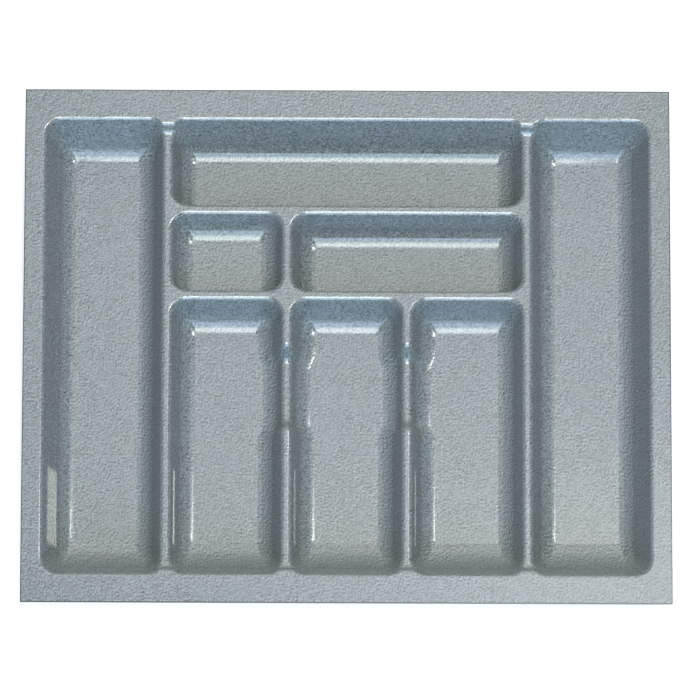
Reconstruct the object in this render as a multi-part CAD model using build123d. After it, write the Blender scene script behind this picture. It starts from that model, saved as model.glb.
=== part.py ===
from build123d import *
import os
from dataclasses import dataclass
from math import cos, radians, sin, sqrt, tan

# A cutlery tray formed from one plastic sheet. X runs along the front of the drawer, Y towards its back
# and Z up. The origin is the middle of the plane that the floors rest on.

# Overall size
width = 620
depth = 510
height = 52
sheet = 1.5

# Flat rim round the compartments
side_rim = 20
back_rim = 30
front_rim = 28

# Compartments and the crests between them, measured at the lips
column_width = 106.3
crest_width = 9
back_row = 82.5
middle_row = 76.5
small_lift = 11
lip_corner = 15
floor_corner = 3
lip_radius = 4

# Crests stand lower than the rim, and step up to it at both ends
crest_drop = 10
step_setback = 5
step_run = 4
step_radius = 5.5

# Walls: how far they lean from upright, in degrees, and the radius at their foot
outer_lean = 19.5
inner_lean = 14.5
foot_radius = 16
steep_lean = 5
steep_foot = 8
scoop_lean = 25
scoop_foot = 32

# Finger notches in the two crests between the front columns
notch_start = 45.5
notch_length = 82
notch_run = 10
notch_drop = 17
notch_lip = 6
notch_foot = 8
waist_radius = 12

# Construction: how far cutters run on, and how many rings shape a foot
overrun = 3
foot_rings = 6

# Heights
rim_z = height
crest_z = height - crest_drop
notch_z = crest_z - notch_drop
floor_z = sheet
small_floor_z = floor_z + small_lift

# Places across the tray
column_pitch = column_width + crest_width
columns_half = column_pitch + column_width / 2
side_inner = columns_half + crest_width
side_outer = width / 2 - side_rim
side_middle = (side_inner + side_outer) / 2
small_right = column_width - columns_half
medium_left = small_right + crest_width

# Places from the front to the back
front_y = front_rim - depth / 2
back_y = depth / 2 - back_rim
back_row_y = back_y - back_row
middle_back_y = back_row_y - crest_width
middle_front_y = middle_back_y - middle_row
columns_back_y = middle_front_y - crest_width
notch_back_y = columns_back_y - notch_start
notch_front_y = notch_back_y - notch_length


def corner_shift(run, drop, below):
    """How far a bend moves sideways when a line that falls by drop over run is offset by below."""
    return below * (sqrt(run**2 + drop**2) - run) / drop


@dataclass
class Wall:
    """A leaning wall with a rounded foot. Its lip line is where it meets the level lip_z."""

    lean: float
    foot: float
    lip_z: float
    floor_z: float = floor_z

    def foot_top(self):
        return self.floor_z + self.foot * (1 - sin(radians(self.lean)))

    def reach(self):
        """Level distance from the lip line to where the floor goes flat."""
        lean = radians(self.lean)
        return self.foot * cos(lean) + (self.lip_z - self.foot_top()) * tan(lean)

    def inset(self, z, below):
        """Level distance from the lip line to the sheet's face at height z, below the upper face."""
        lean = radians(self.lean)
        radius = self.foot + below
        centre_z = self.floor_z + self.foot
        straight_z = centre_z - radius * sin(lean)
        if z < straight_z:
            return self.reach() - sqrt(max(0, radius**2 - (centre_z - z) ** 2))
        return self.reach() - radius * cos(lean) - (z - straight_z) * tan(lean)


@dataclass
class Compartment:
    """One compartment: its lip lines, its four walls, and the sides where a notched crest lies."""

    x0: float
    x1: float
    y0: float
    y1: float
    left: Wall
    right: Wall
    front: Wall
    back: Wall
    notch_left: bool = False
    notch_right: bool = False

    def outline(self, z, below):
        """The level outline at height z, widened beside a notch, where the crest is lower."""
        x0 = self.x0 + self.left.inset(z, below)
        x1 = self.x1 - self.right.inset(z, below)
        y0 = self.y0 + self.front.inset(z, below)
        y1 = self.y1 - self.back.inset(z, below)
        share = self.left.inset(z, below) / self.left.reach()
        corner = lip_corner + (floor_corner - lip_corner) * share + below
        waist = notch_drop * tan(radians(inner_lean))
        front_bends = [(0, notch_front_y), (waist, notch_front_y + notch_run)]
        back_bends = [(waist, notch_back_y - notch_run), (0, notch_back_y)]
        bends = front_bends + back_bends
        bend_radii = [waist_radius - below, waist_radius + below, waist_radius + below, waist_radius - below]
        points = [(x0, y0), (x1, y0)]
        radii = [corner, corner]
        if self.notch_right:
            points += [(x1 + out, y) for out, y in bends]
            radii += bend_radii
        points += [(x1, y1), (x0, y1)]
        radii += [corner, corner]
        if self.notch_left:
            points += [(x0 - out, y) for out, y in reversed(bends)]
            radii += bend_radii
        with BuildSketch(Plane.XY.offset(z)) as face:
            with BuildLine():
                FilletPolyline(*points, radius=radii, close=True)
            make_face()
        return face.sketch

    def foot_levels(self, below):
        """Heights of the rings that shape the feet, the last one where every wall is straight."""
        radius = self.left.foot + below
        turn = 90 - self.left.lean
        bottom = self.left.floor_z - below
        levels = [bottom + radius * (1 - cos(radians(turn * i / foot_rings))) for i in range(foot_rings + 1)]
        straight_z = max(wall.foot_top() for wall in (self.left, self.right, self.front, self.back))
        if straight_z - levels[-1] > sheet:
            levels.append(straight_z)
        return levels

    def hollow(self, below):
        """The space of the compartment, grown by below on every side but the top."""
        levels = self.foot_levels(below)
        rings = [self.outline(z, below) for z in levels]
        foot = loft(rings)
        wall = loft([self.outline(levels[-1], below), self.outline(rim_z + overrun, below)], ruled=True)
        return foot + wall


def compartments():
    """The eight compartments: two long sides, a back row, two in the middle and three columns."""
    outer = Wall(outer_lean, foot_radius, rim_z)
    inner = Wall(inner_lean, foot_radius, crest_z)
    steep = Wall(steep_lean, steep_foot, crest_z)
    scoop = Wall(scoop_lean, scoop_foot, rim_z)
    small_inner = Wall(inner_lean, foot_radius, crest_z, small_floor_z)
    small_steep = Wall(steep_lean, steep_foot, crest_z, small_floor_z)
    middle = (middle_front_y, middle_back_y)
    made = [
        Compartment(-side_outer, -side_inner, front_y, back_y, outer, inner, scoop, outer),
        Compartment(side_inner, side_outer, front_y, back_y, inner, outer, scoop, outer),
        Compartment(-columns_half, columns_half, back_row_y, back_y, inner, inner, steep, outer),
        Compartment(-columns_half, small_right, *middle, small_inner, small_inner, small_steep, small_inner),
        Compartment(medium_left, columns_half, *middle, inner, inner, steep, inner),
    ]
    for i in range(3):
        x0 = i * column_pitch - columns_half
        x1 = x0 + column_width
        walls = (inner, inner, scoop, inner)
        made.append(Compartment(x0, x1, front_y, columns_back_y, *walls, notch_left=i > 0, notch_right=i < 2))
    return made


def step_bends(below):
    """Bends of the top line where it drops from the rim to the crests, at the front and at the back."""
    shift = corner_shift(step_run, crest_drop, below)
    front = front_y + step_setback - shift
    back = back_y - step_setback + shift
    top = rim_z - below
    crest = crest_z - below
    upper = step_radius - below
    lower = step_radius + below
    at_front = [((front, top), upper), ((front + step_run, crest), lower)]
    at_back = [((back - step_run, crest), lower), ((back, top), upper)]
    return at_front, at_back


def notch_bends(below):
    """Bends of the top line where a crest dips into its finger notch."""
    shift = corner_shift(notch_run, notch_drop, below)
    front = notch_front_y - shift
    back = notch_back_y + shift
    crest = crest_z - below
    bottom = notch_z - below
    upper = notch_lip - below
    lower = notch_foot + below
    at_front = [((front, crest), upper), ((front + notch_run, bottom), lower)]
    at_back = [((back - notch_run, bottom), lower), ((back, crest), upper)]
    return at_front + at_back


def slab(x0, x1, below, bends=()):
    """A block from x0 to x1, whose top runs from front to back through the bends."""
    spare = overrun if below else 0
    y = depth / 2 + spare
    top = rim_z - below
    bottom = -overrun - spare
    points = [(-y, top)] + [point for point, radius in bends] + [(y, top)]
    with BuildSketch(Plane.YZ.offset(x0)) as face:
        with BuildLine():
            if bends:
                FilletPolyline(*points, radius=[radius for point, radius in bends])
            else:
                Polyline(*points)
            Polyline((y, top), (y, bottom), (-y, bottom), (-y, top))
        make_face()
    return extrude(face.sketch, amount=x1 - x0)


def ground(below):
    """The block before the compartments are sunk: rim, lowered crests and notches."""
    end = width / 2 + (overrun if below else 0)
    at_front, at_back = step_bends(below)
    stepped = at_front + at_back
    notched = at_front + notch_bends(below) + at_back
    block = slab(-end, -side_middle, below)
    block += slab(-side_middle, -column_pitch, below, stepped)
    block += slab(-column_pitch, column_pitch, below, notched)
    block += slab(column_pitch, side_middle, below, stepped)
    block += slab(side_middle, end, below)
    return block


def lowest(shape):
    return min(vertex.Z for vertex in shape.vertices())


def lip_edges(body, spaces, below):
    """The edges where the straight walls of the compartments meet the rim, the crests and the notches."""
    nearly = sheet / 10
    straight = {space.foot_levels(below)[-1] for space in spaces}
    edges = ShapeList()
    for face in body.faces():
        start = lowest(face)
        if any(abs(start - z) < nearly for z in straight):
            edges += [edge for edge in face.edges() if lowest(edge) > start + nearly]
    return edges


def skin(below):
    """A solid bounded above by the sheet's upper face, or by its lower face where below is the sheet."""
    spaces = compartments()
    body = ground(below)
    body -= [space.hollow(below) for space in spaces]
    return body.fillet(lip_radius - below, lip_edges(body, spaces, below))


def formed_tray():
    """The sheet itself: what lies between its upper and its lower face."""
    tray = skin(0) - skin(sheet)
    tray.label = "formed_tray"
    return tray


os.makedirs("parts", exist_ok=True)
tray = formed_tray()
export_step(tray, "parts/formed_tray.step")
print(f"formed_tray: {len(tray.solids())} solid, {tray.volume / 1000:.1f} cubic cm, valid {tray.is_valid}")
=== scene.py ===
# %% [markdown]
# A cutlery tray, dressed and lit
#
# The tray is one sheet of silver-grey plastic, formed over a mould into eight compartments. Its shape comes
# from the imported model, already at its real size in metres, so this lesson is about its surface: the fine
# grain pressed into the sheet, the gloss that shows in thin bright lines along every bend, and the soft
# light that draws them. Each step says what the real thing is like before it is made.

# %% Load the tray
import math

import bpy
from mathutils import Matrix, Vector


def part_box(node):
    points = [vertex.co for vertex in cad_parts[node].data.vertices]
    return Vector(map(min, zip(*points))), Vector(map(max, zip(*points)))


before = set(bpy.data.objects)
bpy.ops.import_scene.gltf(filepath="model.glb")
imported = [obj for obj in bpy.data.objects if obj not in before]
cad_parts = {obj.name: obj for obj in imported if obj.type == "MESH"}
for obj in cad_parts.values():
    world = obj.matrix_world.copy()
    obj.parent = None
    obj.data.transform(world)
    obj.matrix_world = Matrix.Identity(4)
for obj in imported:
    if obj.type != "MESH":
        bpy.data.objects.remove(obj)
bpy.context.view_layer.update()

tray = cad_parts["formed_tray"]
lowest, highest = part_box("formed_tray")
width, depth, height = highest - lowest
print(f"tray {width * 1000:.0f} x {depth * 1000:.0f} x {height * 1000:.0f} mm")

# %% [markdown]
# The camera
#
# A drawer insert is best seen from nearly straight above, because every compartment then shows its floor.
# The camera stands a little to the front, so each far wall shows as a dark band and each near wall is
# hidden. A camera close by with a short lens would show more of the walls, but it would also make the near
# side of the tray look wider than the far side. A long lens far away keeps the sides almost parallel.
#
# The order of the turns matters. In Blender's ZXY order the camera is first rolled about its own line of
# sight (Z), then tilted up from looking straight down (X), then swung sideways (Y). The angles are in
# radians.

# %% Place the camera
IMAGE_PIXELS = 696
FOCAL_PIXELS = 9825.0
SENSOR = 36.0
CAMERA_PLACE = (-0.0455, -2.5861, 9.0863)
TILT = 0.278472
SWING = -0.005148
ROLL = 0.002424
FARTHEST_SEEN = 100

camera_data = bpy.data.cameras.new("camera")
camera_data.sensor_width = SENSOR
camera_data.lens = SENSOR * FOCAL_PIXELS / IMAGE_PIXELS
camera_data.clip_end = FARTHEST_SEEN
camera = bpy.data.objects.new("camera", camera_data)
camera.location = CAMERA_PLACE
camera.rotation_mode = "ZXY"
camera.rotation_euler = (TILT, SWING, ROLL)
bpy.context.scene.collection.objects.link(camera)
bpy.context.scene.camera = camera
print(f"lens {camera_data.lens:.0f} mm, tilted {math.degrees(TILT):.1f} degrees from straight down")

# %% [markdown]
# A short way to write shaders
#
# A material in Blender is a graph of nodes, and a graph of sums is tedious to wire by hand. The first class
# wraps one socket and lets Python's own signs add the Math nodes, so that a mask can be written as a sum.
# The reflected forms, such as `__rsub__`, are what makes `1 - mask` work, where the number comes first.

# %% A socket that can be added and multiplied
class Socket:
    """One output of a node, on which +, -, * and abs() add Math nodes."""

    def __init__(self, shader, output):
        self.shader = shader
        self.output = output

    def __add__(self, other):
        return self.shader.maths("ADD", self, other)

    def __radd__(self, other):
        return self.shader.maths("ADD", other, self)

    def __sub__(self, other):
        return self.shader.maths("SUBTRACT", self, other)

    def __rsub__(self, other):
        return self.shader.maths("SUBTRACT", other, self)

    def __mul__(self, other):
        return self.shader.maths("MULTIPLY", self, other)

    def __rmul__(self, other):
        return self.shader.maths("MULTIPLY", other, self)

    def __abs__(self):
        return self.shader.maths("ABSOLUTE", self)


# %% [markdown]
# The second class is a material under construction. Every node comes from its one method `add`, which takes
# the node's type, its settings and what goes into its sockets. An input is a plain value or another Socket.

# %% A material under construction
class Shader:
    """A material whose nodes are added one by one."""

    def __init__(self, name):
        self.material = bpy.data.materials.new(name)
        self.material.use_nodes = True
        self.tree = self.material.node_tree
        self.tree.nodes.clear()
        self.surface = self.tree.nodes.new("ShaderNodeOutputMaterial").inputs["Surface"]

    def feed(self, socket, value):
        """Links a Socket into an input, or sets a plain value on it."""
        if isinstance(value, Socket):
            self.tree.links.new(value.output, socket)
        elif isinstance(value, tuple) and len(value) == 3 and len(socket.default_value) == 4:
            socket.default_value = (*value, 1)
        else:
            socket.default_value = value

    def add(self, kind, settings, values, output=0):
        """Adds a node: its settings first, then its inputs, and returns one of its outputs."""
        node = self.tree.nodes.new(kind)
        for name, setting in settings.items():
            setattr(node, name, setting)
        for name, value in values.items():
            self.feed(node.inputs[name], value)
        return Socket(self, node.outputs[output])

    def maths(self, operation, *values):
        """Adds one Math node."""
        return self.add("ShaderNodeMath", {"operation": operation}, dict(enumerate(values)))

    def finish(self, surface):
        """Links what the surface looks like, and returns the material."""
        self.feed(self.surface, surface)
        return self.material


# %% [markdown]
# The grey of the sheet
#
# The plastic is coloured through with a silver-grey pigment. It is not one even grey: the pigment lies in
# clouds a few centimetres wide, so weak that they only keep the tray from looking like paint. They could be
# painted on an image, but a noise that is read at the place of each point needs no image and shows no seam.
# One material serves the whole tray, because the tray is one sheet.

# %% Clouded grey
CLOUD = 0.035
CLOUD_DETAIL = 2
BLUE_GREY = (0.243, 0.252, 0.266)
GREEN_GREY = (0.224, 0.261, 0.256)


def place(shader):
    """Where a point of the surface is, in metres."""
    return shader.add("ShaderNodeTexCoord", {}, {}, "Object")


def spots(shader, size, detail, offset=(0, 0, 0)):
    """Soft spots about as wide as size, as a value round one half, read at an offset in metres."""
    moved = shader.add("ShaderNodeVectorMath", {"operation": "ADD"}, {0: place(shader), 1: offset})
    return shader.add("ShaderNodeTexNoise", {}, {"Vector": moved, "Scale": 1 / size, "Detail": detail}, "Fac")


def blend(shader, share, first, second):
    """A colour between two, by a share from 0 to 1."""
    return shader.add("ShaderNodeMix", {"data_type": "RGBA"}, {0: share, 6: first, 7: second}, 2)


plastic = Shader("tray_plastic")
grey = blend(plastic, spots(plastic, CLOUD, CLOUD_DETAIL), BLUE_GREY, GREEN_GREY)
print("clouds", CLOUD, "m wide, between", BLUE_GREY, "and", GREEN_GREY)

# %% [markdown]
# The grain, and the light and shade painted on it
#
# The sheet is extruded between rollers, one of which presses a grain of small pebbles into it, about two
# millimetres wide. A bump shades such pebbles seen from close by, but in the whole picture a pebble is only
# two pixels wide and its two sides average away. So light and shade are painted into the colour: the grain's
# height is read twice, a little apart, and the difference paints the side of each pebble that faces the
# upper left lighter, as if lit from there, and the other side darker, as painted shade. Larger patches of
# noise vary how strongly, because the rollers don't press evenly.

# %% Light and shade of the grain, painted into the colour
PEBBLE = 0.0020
PEBBLE_DETAIL = 1
STEP_BESIDE = (0.0008, -0.0014, 0.0006)
PATCH = 0.03
PATCH_DETAIL = 1
LEAST_CONTRAST = 0.5
MORE_CONTRAST = 1.1
SHADED_SIDE = 0.25
LIT_SIDE = 1.75
MIDDLE = 0.5


def scaled(shader, colour, factor):
    """A colour made darker or lighter by a factor."""
    return shader.add("ShaderNodeVectorMath", {"operation": "SCALE"}, {"Vector": colour, "Scale": factor})


grain = spots(plastic, PEBBLE, PEBBLE_DETAIL)
beside = spots(plastic, PEBBLE, PEBBLE_DETAIL, STEP_BESIDE)
painted_shade_strength = LEAST_CONTRAST + spots(plastic, PATCH, PATCH_DETAIL) * MORE_CONTRAST
# painted light and shade: each pebble is lighter on its upper-left side and darker on the other
pebble_painted_shade = (grain - beside) * painted_shade_strength
colour = blend(plastic, MIDDLE + pebble_painted_shade, scaled(plastic, grey, SHADED_SIDE), scaled(plastic, grey, LIT_SIDE))
print(f"pebbles {PEBBLE * 1000:.1f} mm wide")

# %% [markdown]
# The trimmed edge
#
# The formed tray is cut out of its sheet with a blade or a router, which leaves a square edge. It catches
# no light from above, so it shows as a thin dark line all round. Faces of their own would be slivers a
# millimetre wide, so that shade is painted into the colour instead: a mask on the distance to the edge of
# the sheet darkens it, fully up to half the line's width, then fading.

# %% Painted shade along the edge
EDGE_LINE = 0.0012
EDGE_SHADE_COLOUR = (0.02, 0.022, 0.024)


def clamped(value):
    """A value kept between 0 and 1."""
    return value.shader.add("ShaderNodeClamp", {}, {"Value": value})


def ramp(value, start, end):
    """A share that runs from 0 to 1 while the value goes from start to end."""
    return clamped((value - start) * (1 / (end - start)))


def part(vector, axis):
    """One of the three parts of a vector, by the name of its axis."""
    return vector.shader.add("ShaderNodeSeparateXYZ", {}, {0: vector}, axis)


def inside_edge(shader):
    """How far a point lies inside the edge of the sheet, in metres."""
    from_side = width / 2 - abs(part(place(shader), "X"))
    from_end = depth / 2 - abs(part(place(shader), "Y"))
    return shader.maths("MINIMUM", from_side, from_end)


# painted shade: the colour is darkened close to the edge of the sheet, where the square cut gets no light
edge = ramp(inside_edge(plastic), EDGE_LINE, EDGE_LINE / 2)
colour = blend(plastic, edge, colour, EDGE_SHADE_COLOUR)
print(f"edge line {EDGE_LINE * 1000:.1f} mm wide")

# %% [markdown]
# Bends
#
# The heated sheet is drawn into the mould by a vacuum. At the lips, crests and feet it is stretched round a
# bend, which makes the grain shallower and the surface glossier, most of all on the lips. Faces could be
# picked by hand for this, but a mask finds every bend at once, by how far the surface faces up: 1 on a
# flat, about 0.3 on a wall, and all between on a bend.

# %% A mask for the bends
FLAT_ENDS = 0.998
BEND_STARTS = 0.985
BEND_ENDS = 0.6
WALL_STARTS = 0.35


def bent(shader):
    """A share that is 1 on the bends at the feet, lips and crests, and 0 on flats and walls."""
    facing_up = part(shader.add("ShaderNodeTexCoord", {}, {}, "Normal"), "Z")
    return ramp(facing_up, FLAT_ENDS, BEND_STARTS) * ramp(facing_up, WALL_STARTS, BEND_ENDS)


bends = bent(plastic)
gentlest, steepest = math.degrees(math.acos(BEND_STARTS)), math.degrees(math.acos(BEND_ENDS))
print(f"bends lean between {gentlest:.0f} and {steepest:.0f} degrees")

# %% [markdown]
# Relief
#
# Two reliefs lie on top of each other. The grain is a few hundredths of a millimetre deep and loses most of
# its depth on the bends. Under it, the cooling of the sheet leaves faint slow waves in the floors, too
# shallow to feel, but they bend a reflection. A bump node is enough for both: moving the real surface would
# need millions of faces for a relief that no outline shows.

# %% Grain and slow waves
GRAIN_DEPTH = 0.00006
GRAIN_LOST = 0.7
WAVE = 0.045
WAVE_DETAIL = 1
WAVE_DEPTH = 0.00012


def bump(shader, heights, deepest, over=None):
    """A relief of heights from 0 to 1, over another relief if there is one."""
    values = {"Strength": 1.0, "Distance": deepest, "Height": heights}
    if over:
        values["Normal"] = over
    return shader.add("ShaderNodeBump", {}, values)


pressed = (grain - MIDDLE) * (1 - bends * GRAIN_LOST)
relief = bump(plastic, pressed, GRAIN_DEPTH)
relief = bump(plastic, spots(plastic, WAVE, WAVE_DETAIL), WAVE_DEPTH, over=relief)
print(f"grain up to {GRAIN_DEPTH * 1000:.2f} mm deep, waves up to {WAVE_DEPTH * 1000:.2f} mm")

# %% [markdown]
# Gloss
#
# Such trays are polystyrene, whose refractive index is 1.59. That number alone sets how strongly the sheet
# mirrors, and a low roughness keeps the mirrored lamps as fine lines. The lips get a clear coat over the
# same plastic, a little softer than the sheet, so that their lines look wider. A mask on height keeps it
# off the feet.

# %% Finish the plastic
POLYSTYRENE = 1.59
SHEET_ROUGHNESS = 0.10
LIP_COAT = 0.6
LIP_ROUGHNESS = 0.2
FEET_END = 0.018
LIPS_START = 0.022

above_feet = ramp(part(place(plastic), "Z"), FEET_END, LIPS_START)
looks = {
    "Base Color": colour,
    "Roughness": SHEET_ROUGHNESS,
    "IOR": POLYSTYRENE,
    "Normal": relief,
    "Coat Weight": bends * above_feet * LIP_COAT,
    "Coat Roughness": LIP_ROUGHNESS,
    "Coat IOR": POLYSTYRENE,
}
tray.data.materials.clear()
tray.data.materials.append(plastic.finish(plastic.add("ShaderNodeBsdfPrincipled", {}, looks)))
print("dressed", tray.name, "with", len(plastic.tree.nodes), "nodes")

# %% [markdown]
# The floor
#
# The tray lies on a plain pale sheet of paper. A lamp strong enough to make the paper white in the picture
# would wash out the tray. So the camera, and anything that mirrors the paper, sees a little light added to
# it, which lights nothing else. The paper still darkens where the rim keeps the lamps off it.

# %% Lay the floor
FLOOR_SIZE = 14.0
FLOOR_GAP = 0.0003

bpy.ops.object.select_all(action="DESELECT")
bpy.ops.mesh.primitive_plane_add(size=FLOOR_SIZE, location=(0, 0, lowest.z - FLOOR_GAP))
floor = bpy.context.object
floor.name = "floor"
bpy.ops.object.transform_apply(location=True, rotation=False, scale=True)
print(f"floor {FLOOR_SIZE:.0f} m wide, {FLOOR_GAP * 1000:.1f} mm under the tray")

# %% Dress the floor
PAPER_GREY = (0.78, 0.78, 0.78)
WHITE = (1.0, 1.0, 1.0)
ADDED_LIGHT = 0.62


def white_paper():
    """Matt paper, with light added for what looks at it."""
    shader = Shader("white_paper")
    matt = shader.add("ShaderNodeBsdfDiffuse", {}, {"Color": PAPER_GREY, "Roughness": 0.0})
    light = shader.add("ShaderNodeEmission", {}, {"Color": WHITE, "Strength": ADDED_LIGHT})
    lit = shader.add("ShaderNodeAddShader", {}, {0: matt, 1: light})
    seen = shader.add("ShaderNodeLightPath", {}, {}, "Is Camera Ray")
    for ray in ("Is Glossy Ray", "Is Transmission Ray"):
        seen += shader.add("ShaderNodeLightPath", {}, {}, ray)
    return shader.finish(shader.add("ShaderNodeMixShader", {}, {"Fac": clamped(seen), 1: matt, 2: lit}))


floor.data.materials.append(white_paper())
print("dressed", floor.name)

# %% [markdown]
# Hanging a lamp
#
# The bends of a glossy tray show the lamps as lines, so the lamps decide where each bright line runs. That
# makes angles the natural way to place one. A lamp is given by its direction as seen from the tray: how
# many degrees from straight up towards the back (north), and then to the right (east). A flat floor mirrors
# what hangs at about 16 degrees north, and a bend that leans to the front by some angle mirrors twice that
# angle further south. Its size is given in degrees too, and its brightness as a number where 1 looks as
# bright as white paper. The watts that Blender asks for follow from these.

# %% Lamp helpers
LAMP_DISTANCE = 4.0


def direction(north, east):
    """The way to a lamp, by its angles from straight up: to the back first, then to the right."""
    back, right = math.radians(north), math.radians(east)
    return Vector((math.sin(right), math.cos(right) * math.sin(back), math.cos(right) * math.cos(back)))


def hang(name, across, along, watts, colour, way, distance, centre=(0, 0, 0)):
    """Hangs a rectangular lamp at a distance from centre, facing it, where the camera doesn't see it."""
    data = bpy.data.lights.new(name, "AREA")
    data.shape = "RECTANGLE"
    data.size = across
    data.size_y = along
    data.energy = watts
    data.color = colour
    level = Vector((way.z, 0, -way.x)).normalized()
    turned = Matrix((level, way.cross(level), way)).transposed().to_4x4()
    placed = bpy.data.objects.new(name, data)
    placed.matrix_world = Matrix.Translation(Vector(centre) + way * distance) @ turned
    placed.visible_camera = False
    bpy.context.scene.collection.objects.link(placed)
    return data


def lamp(name, north, east, deep, wide, brightness, colour):
    """A lamp that covers deep by wide degrees, seen from the tray."""
    across = LAMP_DISTANCE * math.radians(wide)
    along = LAMP_DISTANCE * math.radians(deep)
    watts = brightness * math.pi * across * along
    hang(name, across, along, watts, colour, direction(north, east), LAMP_DISTANCE)
    print(f"{name}: {across:.2f} x {along:.2f} m, {watts:.0f} W")


# %% [markdown]
# Light from above and from the back
#
# The overhead panels are what the flats mirror, and give the floors their even grey. One huge panel would
# light the tray as well, but every bend would mirror it alike and the shape would look flat. The wide panel
# reaches far to both sides, so that the crests, which bend away to the left and right, show a broad soft
# line. The panels to the back are mirrored by the scooped front walls, from their feet up: each lower panel
# serves a steeper part.

# %% Panels overhead and behind
PANEL_WHITE = (1.0, 1.0, 0.98)

lamp("overhead_panel", north=17, east=0.5, deep=14, wide=13, brightness=1.4, colour=PANEL_WHITE)
lamp("overhead_front", north=9, east=14, deep=10, wide=32, brightness=1.3, colour=PANEL_WHITE)
lamp("overhead_wide", north=16, east=0, deep=12, wide=68, brightness=1.1, colour=PANEL_WHITE)
lamp("overhead_back", north=36, east=5, deep=26, wide=28, brightness=2.2, colour=PANEL_WHITE)
lamp("back_slope", north=57, east=5, deep=15, wide=36, brightness=1.4, colour=(1.0, 1.0, 0.99))
lamp("back_fill", north=75, east=0, deep=20, wide=60, brightness=0.7, colour=(0.95, 1.0, 1.0))

# %% [markdown]
# Strips to the front
#
# A row of narrow strips runs from overhead down to the front. The far feet of the compartments mirror them
# one above another, and the far lips once more, as a thin line. One tall lamp would give a line too, but as
# bright at its top as at its bottom. The strips are narrow so that the far walls stay dark, and they turn
# from white to the blue of daylight on the way down, as the far walls do. The wide fill at the bottom is
# hardly mirrored at all: it is there for the far walls.

# %% Strips and the fill under them
lamp("strip_back", north=3, east=0, deep=7, wide=12, brightness=3.5, colour=(0.92, 1.0, 0.98))
lamp("strip_top", north=-12, east=0, deep=24, wide=11, brightness=10.4, colour=(0.92, 1.0, 0.99))
lamp("strip_middle", north=-30, east=0, deep=12, wide=14, brightness=6.9, colour=(0.78, 0.96, 1.06))
lamp("strip_bottom", north=-50, east=0, deep=26, wide=24, brightness=4.9, colour=(0.66, 0.88, 1.16))
lamp("front_fill", north=-74, east=0, deep=20, wide=64, brightness=2.2, colour=(0.60, 0.90, 1.24))

# %% [markdown]
# Light from the sides
#
# The left foot of each compartment bends towards the right, and mirrors one small bright lamp there as a
# fine upright line, with a faint glow beside it. A larger lamp would light the tray as well, but it would
# turn the line into a wide band. A second small lamp, further to the front, gives the corner of each far
# foot its glint. Two dim fills keep the side walls from going black.

# %% Lamps to the right and left
SIDE_WHITE = (1.0, 1.0, 0.97)

lamp("right_lamp", north=8.1, east=14.5, deep=10, wide=7.5, brightness=16.2, colour=SIDE_WHITE)
lamp("right_glow", north=8.1, east=7, deep=10, wide=8, brightness=1.9, colour=SIDE_WHITE)
lamp("corner_lamp", north=-7, east=19, deep=12, wide=9, brightness=6.9, colour=(0.9, 1.0, 1.0))
lamp("right_front_fill", north=-70, east=44, deep=30, wide=7, brightness=1.2, colour=(0.8, 0.97, 1.0))
lamp("left_fill", north=10, east=-62, deep=40, wide=40, brightness=0.2, colour=PANEL_WHITE)

# %% [markdown]
# A patch of window light
#
# Light from a window falls on the outer left wall as a small patch with sharp edges, and grazes the left
# wall of each column as a fine line under its lip. Such light is a beam of parallel rays. A sun lamp would
# need walls with a window to cut the beam out. An area lamp gives one when its spread is turned down to one
# degree, and the patch then has about the lamp's own size.

# %% Beams from the right
WINDOW_ELEVATION = 35
BEAM_SPREAD = 1.0
WINDOW_TINT = (1.0, 0.95, 0.82)
PATCH_CENTRE = (-0.2785, -0.155, 0.029)
PATCH_LENGTH = 0.074
PATCH_WIDTH = 0.024
PATCH_STRENGTH = 3.7
PATCH_DISTANCE = 0.30


def window_patch(centre, distance, across, strength, colour):
    """A parallel beam from the right that lays a sharp-edged patch of light on a wall."""
    way = direction(0, 90 - WINDOW_ELEVATION)
    watts = strength * across * PATCH_LENGTH
    data = hang("window_patch", across, PATCH_LENGTH, watts, colour, way, distance, centre)
    data.spread = math.radians(BEAM_SPREAD)
    print(f"window patch {across * 1000:.0f} mm wide at {centre[0] * 1000:.0f} mm")


window_patch(PATCH_CENTRE, PATCH_DISTANCE, PATCH_WIDTH, PATCH_STRENGTH, WINDOW_TINT)

# %% Fine lines in the columns
FIRST_COLUMN = -0.16845
COLUMN_PITCH = 0.1153
LINE_INSET = 0.0036
LINE_HEIGHT = 0.028
LINE_WIDTH = 0.005
LINE_STRENGTHS = (7.0, 3.1, 3.1)
LINE_DISTANCE = 0.12
LINE_TINT = (1.0, 0.97, 0.88)

for column, strength in enumerate(LINE_STRENGTHS):
    across_tray = FIRST_COLUMN + column * COLUMN_PITCH + LINE_INSET
    window_patch((across_tray, PATCH_CENTRE[1], LINE_HEIGHT), LINE_DISTANCE, LINE_WIDTH, strength, LINE_TINT)

# %% [markdown]
# The room
#
# What no lamp reaches still gets a little light from the walls of a room. Here that is the world's colour,
# very weak, because the lamps above already fill the tray from all sides.

# %% Light the room
ROOM_COLOUR = (0.75, 0.88, 1.0, 1)
ROOM_STRENGTH = 0.015

world = bpy.data.worlds.new("room")
world.use_nodes = True
room_light = world.node_tree.nodes["Background"]
room_light.inputs["Color"].default_value = ROOM_COLOUR
room_light.inputs["Strength"].default_value = ROOM_STRENGTH
bpy.context.scene.world = world
print("room light", ROOM_STRENGTH)

# %% [markdown]
# Finish
#
# The colours are shown as they are written, so the view transform is Standard.

# %% Finish
bpy.context.scene.view_settings.view_transform = "Standard"
